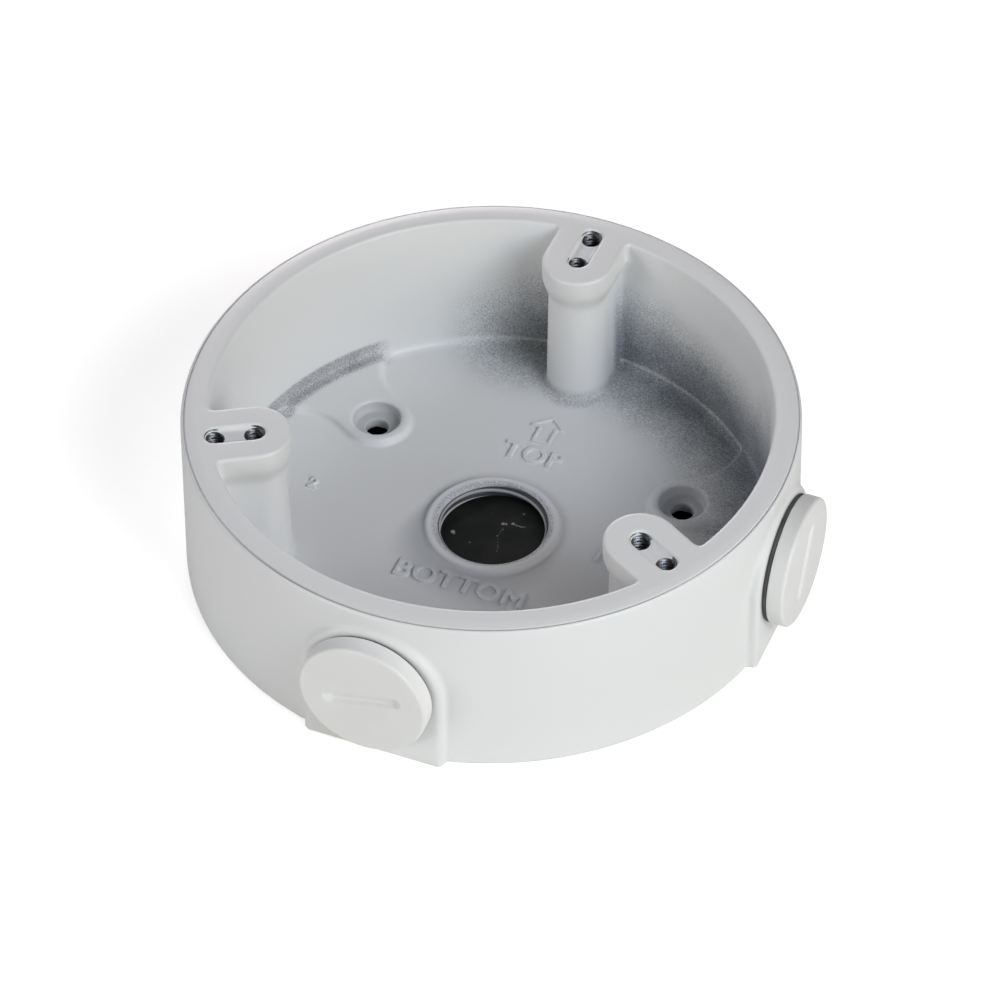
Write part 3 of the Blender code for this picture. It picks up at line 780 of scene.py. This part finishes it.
plug = {
    "headRadius": 11.85, "face": 59.56, "edge": 0.6, "backEdge": 0.2, "rootRadius": 9.6, "threadDepth": 0.6,
    "pitch": 1.814, "seat": 56.47, "tip": 48.87, "hollowRadius": 7.6, "hollowTop": 55.9,
    "slotHalf": 6.2, "slotWidth": 1.3, "slotFloor": 0.7, "slotDepth": 1.0, "voxel": 0.17, "faces": 60000,
    # name, direction, turn of the slot, back of the head, outer radius and thickness of its gasket
    "places": (("bottom", 270, 13, 56.06, 11.5, 0.36), ("right", 0, 63, 56.4, 11.7, 0.7)),
}
gasket = {"seat": 55.62, "holeRadius": 10.5, "edge": 0.2}


def plugHead(back):
    face = plug["face"]
    edge = plug["edge"]
    backEdge = plug["backEdge"]
    profile = [(0, face)]
    profile += arcPoints(plug["headRadius"] - edge, face - edge, edge, 90, 0, 8)
    profile += arcPoints(plug["headRadius"] - backEdge, back + backEdge, backEdge, 0, -90, 3)
    profile.append((0, back))
    return newObject("head", turnedMesh("head", profile, 144))


def coinSlot(turn):
    # a shallow bar with round ends and sloping sides
    def outline(width, half, height):
        points = arcPoints(half, 0, width, -90, 90, 12) + arcPoints(-half, 0, width, 90, 270, 12)
        return atHeight(points, height)

    face = plug["face"]
    half = plug["slotHalf"]
    mesh = loftedMesh("coin slot", [
        outline(plug["slotFloor"], half - plug["slotDepth"], face - plug["slotDepth"]),
        outline(plug["slotWidth"], half, face),
        outline(plug["slotWidth"] * 1.3, half + 0.4, face + 0.6),
    ])
    return newObject("coin slot", turned(mesh, turn))


def makePlug(name, direction, turn, back):
    head = plugHead(back)
    slot = coinSlot(turn)
    combine(head, slot, "DIFFERENCE")
    length = plug["seat"] + 0.5 - plug["tip"]
    middle = plug["tip"] + length / 2
    shank = threadedRods("shank", [((0, 0, middle), (0, 0, 1))], {
        "Radius": plug["rootRadius"], "Depth": plug["threadDepth"], "Pitch": plug["pitch"], "Length": length,
        "Fade": 1.3, "Facets": 120, "Rows": 90, "Material": plugMaterial})
    bottom = plug["tip"] - over
    profile = [
        (0, bottom), (plug["hollowRadius"], bottom), (plug["hollowRadius"], plug["hollowTop"]),
        (0, plug["hollowTop"]),
    ]
    hollow = newObject("hollow", turnedMesh("hollow", profile, 71))
    combine(shank, hollow, "DIFFERENCE")
    made = joined("coin_plug_" + name, [head.data, shank.data])
    drop(head, slot, shank, hollow)
    remesh(made, plug["voxel"], 2, plug["faces"])
    made.data.materials.clear()
    made.data.materials.append(plugMaterial)
    aimedOutwards(made.data, direction)
    return finishPiece(made, name + "_plug", "white_plug_coat", "side_plug_" + name)


def makeGasket(name, direction, radius, thickness):
    edge = gasket["edge"]
    low = gasket["seat"]
    high = low + thickness
    profile = [(gasket["holeRadius"], high)]
    profile += arcPoints(radius - edge, high - edge, edge, 90, 0, 4)
    profile += arcPoints(radius - edge, low + edge, edge, 0, -90, 4)
    profile.append((gasket["holeRadius"], low))
    made = newObject("rubber_gasket_" + name, turnedMesh("gasket", profile, 144, closed=True))
    made.data.materials.append(gasketMaterial)
    aimedOutwards(made.data, direction)
    return finishPiece(made, name + "_gasket", "black_gasket_rubber", "plug_gasket_" + name)


for name, direction, turn, back, radius, thickness in plug["places"]:
    makePlug(name, direction, turn, back)
    makeGasket(name, direction, radius, thickness)
print("plugs and gaskets ready")


# Rear cap: a black disc pressed in from behind, slightly dished, with a rounded edge

disc = {"radius": 13.0, "thickness": 1.2, "dish": 0.08, "edge": 0.3}


def makeDisc():
    top = disc["thickness"]
    profile = [(0, top - disc["dish"]), (4, top - disc["dish"]), (8.5, top - 0.02), (9.4, top)]
    profile += arcPoints(disc["radius"] - disc["edge"], top - disc["edge"], disc["edge"], 90, 0, 4)
    profile += [(disc["radius"], 0.05), (disc["radius"] - 0.05, 0), (0, 0)]
    made = newObject("blanking_cap", turnedMesh("cap", profile, 144))
    made.data.materials.append(discMaterial)
    return finishPiece(made, "box", "black_disc_rubber", "rear_blanking_disc")


makeDisc()
print("rear cap ready")


# Raised marks on the floor: which way up the box goes, an arrow, two mould numbers and an ejector ring

marks = {
    "floor": 3.1, "height": 0.62, "sunk": 0.2, "stroke": 0.476, "voxel": 0.1, "faces": 60000,
    # the letters: a capital's share of the text size, extra width of the strokes, bevel and first spacing
    "capital": 0.729, "bold": 0.06, "bevel": 0.06, "spacing": 1.15,
    # text, place, width, height of a capital letter
    "words": (
        ("TOP", 0.0, 19.6, 11.6, 4.15), ("BOTTOM", 0.1, -16.1, 24.6, 4.15),
        ("2", -34.5, -1.9, 1.7, 2.6), ("1", 20.5, -0.4, 0.9, 2.8),
    ),
    "arrow": ((-1.5, 23.5), (-1.5, 27.3), (-3.15, 27.3), (0, 30.1), (3.15, 27.3), (1.5, 27.3), (1.5, 23.5)),
    # the ejector pin's ring: distance and angle of its middle, radius, width, depth and top
    "pin": {"reach": 46.6, "angle": 150, "radius": 2.7, "width": 0.25, "depth": 0.4, "top": 4.75},
}


def wordMesh(text, x, y, width, capHeight):
    curve = bpy.data.curves.new(text, "FONT")
    curve.body = text
    curve.align_x = "CENTER"
    curve.align_y = "CENTER"
    curve.size = capHeight / marks["capital"]
    curve.offset = marks["bold"]
    curve.extrude = marks["height"] / 2 + marks["sunk"]
    curve.bevel_depth = marks["bevel"]
    curve.space_character = marks["spacing"]
    word = newObject(text, curve)
    bpy.context.view_layer.update()
    # a word's letters are spread until it has its width
    for _ in range(4 if len(text) > 1 else 0):
        curve.space_character *= width / word.dimensions.x
        bpy.context.view_layer.update()
    mesh = bpy.data.meshes.new_from_object(word.evaluated_get(bpy.context.evaluated_depsgraph_get()))
    middle = marks["floor"] + marks["height"] / 2 - marks["sunk"]
    mesh.transform(Matrix.Translation((x, y, middle)))
    drop(word)
    return mesh


def ribMesh(points, width, low, high):
    # a low rib along a closed run of points, one bar with round ends to each side
    bars = bmesh.new()
    for start, end in zip(points, points[1:] + points[:1]):
        along = Vector(end) - Vector(start)
        angle = math.atan2(along.y, along.x)
        outline = arcPoints(along.length, 0, width / 2, -90, 90, 6) + arcPoints(0, 0, width / 2, 90, 270, 6)
        bar = loftedMesh("bar", [atHeight(outline, low), atHeight(outline, high)])
        bar.transform(Matrix.Translation((*start, 0)) @ Matrix.Rotation(angle, 4, "Z"))
        bars.from_mesh(bar)
    return toMesh("rib", bars)


def makeMarks():
    low = marks["floor"] - marks["sunk"]
    high = marks["floor"] + marks["height"]
    meshes = [wordMesh(*word) for word in marks["words"]]
    meshes.append(ribMesh(list(marks["arrow"]), marks["stroke"], low, high))
    pin = marks["pin"]
    circle = arcPoints(0, 0, pin["radius"], 0, 345, 23)
    ring = ribMesh(circle, pin["width"], pin["top"] - pin["depth"], pin["top"])
    ring.transform(Matrix.Translation((pin["reach"], 0, 0)))
    meshes.append(turned(ring, pin["angle"]))
    made = joined("cast_floor_marks", meshes)
    remesh(made, marks["voxel"], 2, marks["faces"])
    made.data.materials.clear()
    made.data.materials.append(coatMaterial)
    return finishPiece(made, "box", "white_powder_coat")


makeMarks()
print("floor marks ready")


# Floor, light and camera

stage = {
    "floor": "f4f4f2", "floorGlow": 0.55, "glowRise": (0.25, 0.75), "floorRadius": 3.0,
    # the floor under the box is painted black as shade
    "paintedShadeUnderBox": "0a0a0b", "paintedShadeRadius": 0.05,
    "ambient": 0.02, "distance": 0.9, "size": 0.45,
    "lamps": (
        # name, azimuth from the lower entry, elevation, watts, tint
        ("window", 60, 38, 4.2, "e8f2ff"),
        ("low right softbox", 60, 16, 1.4, "fff8d9"),
        ("right softbox", 90, 38, 1.4, "ffeedf"),
        ("low front softbox", -30, 16, 2.4, "fffdf7"),
        ("left softbox", -90, 38, 1.3, "f1f3ff"),
        ("low back softbox", -150, 16, 3.4, "fff7f9"),
    ),
}
view = {
    # fitted to the rim, base and floor circles of the photograph, 55 mm to the unit
    "focal": 5011.45, "distance": 15.8076, "elevation": 0.7759, "roll": -0.0104,
    "offset": (0.0253, -0.4275), "heading": 22.5, "unit": 0.055, "rimHeight": 0.033,
}


def makeCamera():
    camera = bpy.data.objects.new("camera", bpy.data.cameras.new("camera"))
    bpy.context.scene.collection.objects.link(camera)
    camera.data.sensor_width = 36
    camera.data.lens = view["focal"] * 36 / 1000
    back = Vector((0, -math.cos(view["elevation"]), math.sin(view["elevation"])))
    right = Vector((1, 0, 0))
    up = Vector((0, math.sin(view["elevation"]), math.cos(view["elevation"])))
    spot = Vector((*view["offset"], 0)) + back * view["distance"]
    turnRight = right * math.cos(view["roll"]) + up * math.sin(view["roll"])
    turnUp = up * math.cos(view["roll"]) - right * math.sin(view["roll"])
    frameAxes = Matrix((turnRight, turnUp, back)).transposed().to_4x4()
    heading = Matrix.Rotation(math.radians(view["heading"]), 4, "Z")
    place = Matrix.Translation((0, 0, view["rimHeight"])) @ heading @ Matrix.Translation(spot * view["unit"])
    camera.matrix_world = place @ frameAxes
    bpy.context.scene.camera = camera


def makeLamps():
    for name, azimuth, elevation, watts, tint in stage["lamps"]:
        lamp = bpy.data.lights.new(name, "AREA")
        lamp.shape = "DISK"
        lamp.size = stage["size"]
        lamp.energy = watts
        lamp.color = colour(tint)[:3]
        a = math.radians(azimuth)
        e = math.radians(elevation)
        away = Vector((math.sin(a) * math.cos(e), -math.cos(a) * math.cos(e), math.sin(e)))
        thing = bpy.data.objects.new(name, lamp)
        bpy.context.scene.collection.objects.link(thing)
        thing.location = Vector((0, 0, housing["height"] / 2 * toMetres)) + away * stage["distance"]
        thing.rotation_mode = "QUATERNION"
        thing.rotation_quaternion = away.to_track_quat("Z", "Y")


def seenDirectly(tree):
    # 1 for what the camera sees itself, 0 for light that falls on things or shines back from them
    return addNode(tree, "ShaderNodeLightPath", {}, {}).outputs["Is Camera Ray"]


def makeWorld():
    world = bpy.data.worlds.new("studio")
    world.use_nodes = True
    tree = world.node_tree
    tree.nodes.clear()
    dim = addNode(tree, "ShaderNodeBackground", {}, {"Color": (1, 1, 1, 1), "Strength": stage["ambient"]})
    white = addNode(tree, "ShaderNodeBackground", {}, {"Color": (1, 1, 1, 1), "Strength": 1.0})
    mix = addNode(tree, "ShaderNodeMixShader", {}, {
        0: seenDirectly(tree), 1: dim.outputs[0], 2: white.outputs[0]})
    addNode(tree, "ShaderNodeOutputWorld", {}, {"Surface": mix.outputs[0]})
    bpy.context.scene.world = world


def makeFloor():
    # pale board: it glows enough to read white to the camera, and still takes a faint shadow
    shape = bmesh.new()
    bmesh.ops.create_circle(shape, cap_ends=True, segments=96, radius=stage["floorRadius"])
    floor = newObject("floor", toMesh("floor", shape))
    floor.location.z = -0.0001
    material, tree, place = startMaterial("pale studio board")
    diffuse = addNode(tree, "ShaderNodeBsdfDiffuse", {}, {"Color": colour(stage["floor"])})
    reach = vectorMaths(tree, "LENGTH", place)
    # the glow rises far from the box, where the lamps no longer reach
    strength = ramp(tree, reach, *stage["glowRise"], stage["floorGlow"], 1.0)
    glow = addNode(tree, "ShaderNodeEmission", {}, {"Strength": strength})
    lit = addNode(tree, "ShaderNodeAddShader", {}, {0: diffuse.outputs[0], 1: glow.outputs[0]})
    mix = addNode(tree, "ShaderNodeMixShader", {}, {
        0: seenDirectly(tree), 1: diffuse.outputs[0], 2: lit.outputs[0]})
    # painted shade: the floor under the box is black and has no glow, and is seen through its screw holes
    under = maths(tree, "LESS_THAN", reach, stage["paintedShadeRadius"])
    paintedShadeUnderBox = addNode(tree, "ShaderNodeBsdfDiffuse", {}, {"Color": colour(stage["paintedShadeUnderBox"])})
    whole = addNode(tree, "ShaderNodeMixShader", {}, {0: under, 1: mix.outputs[0], 2: paintedShadeUnderBox.outputs[0]})
    addNode(tree, "ShaderNodeOutputMaterial", {}, {"Surface": whole.outputs[0]})
    floor.data.materials.append(material)


clearView()
makeCamera()
makeLamps()
makeWorld()
makeFloor()
bpy.context.scene.view_settings.view_transform = "Standard"
print("floor, lamps and camera ready")
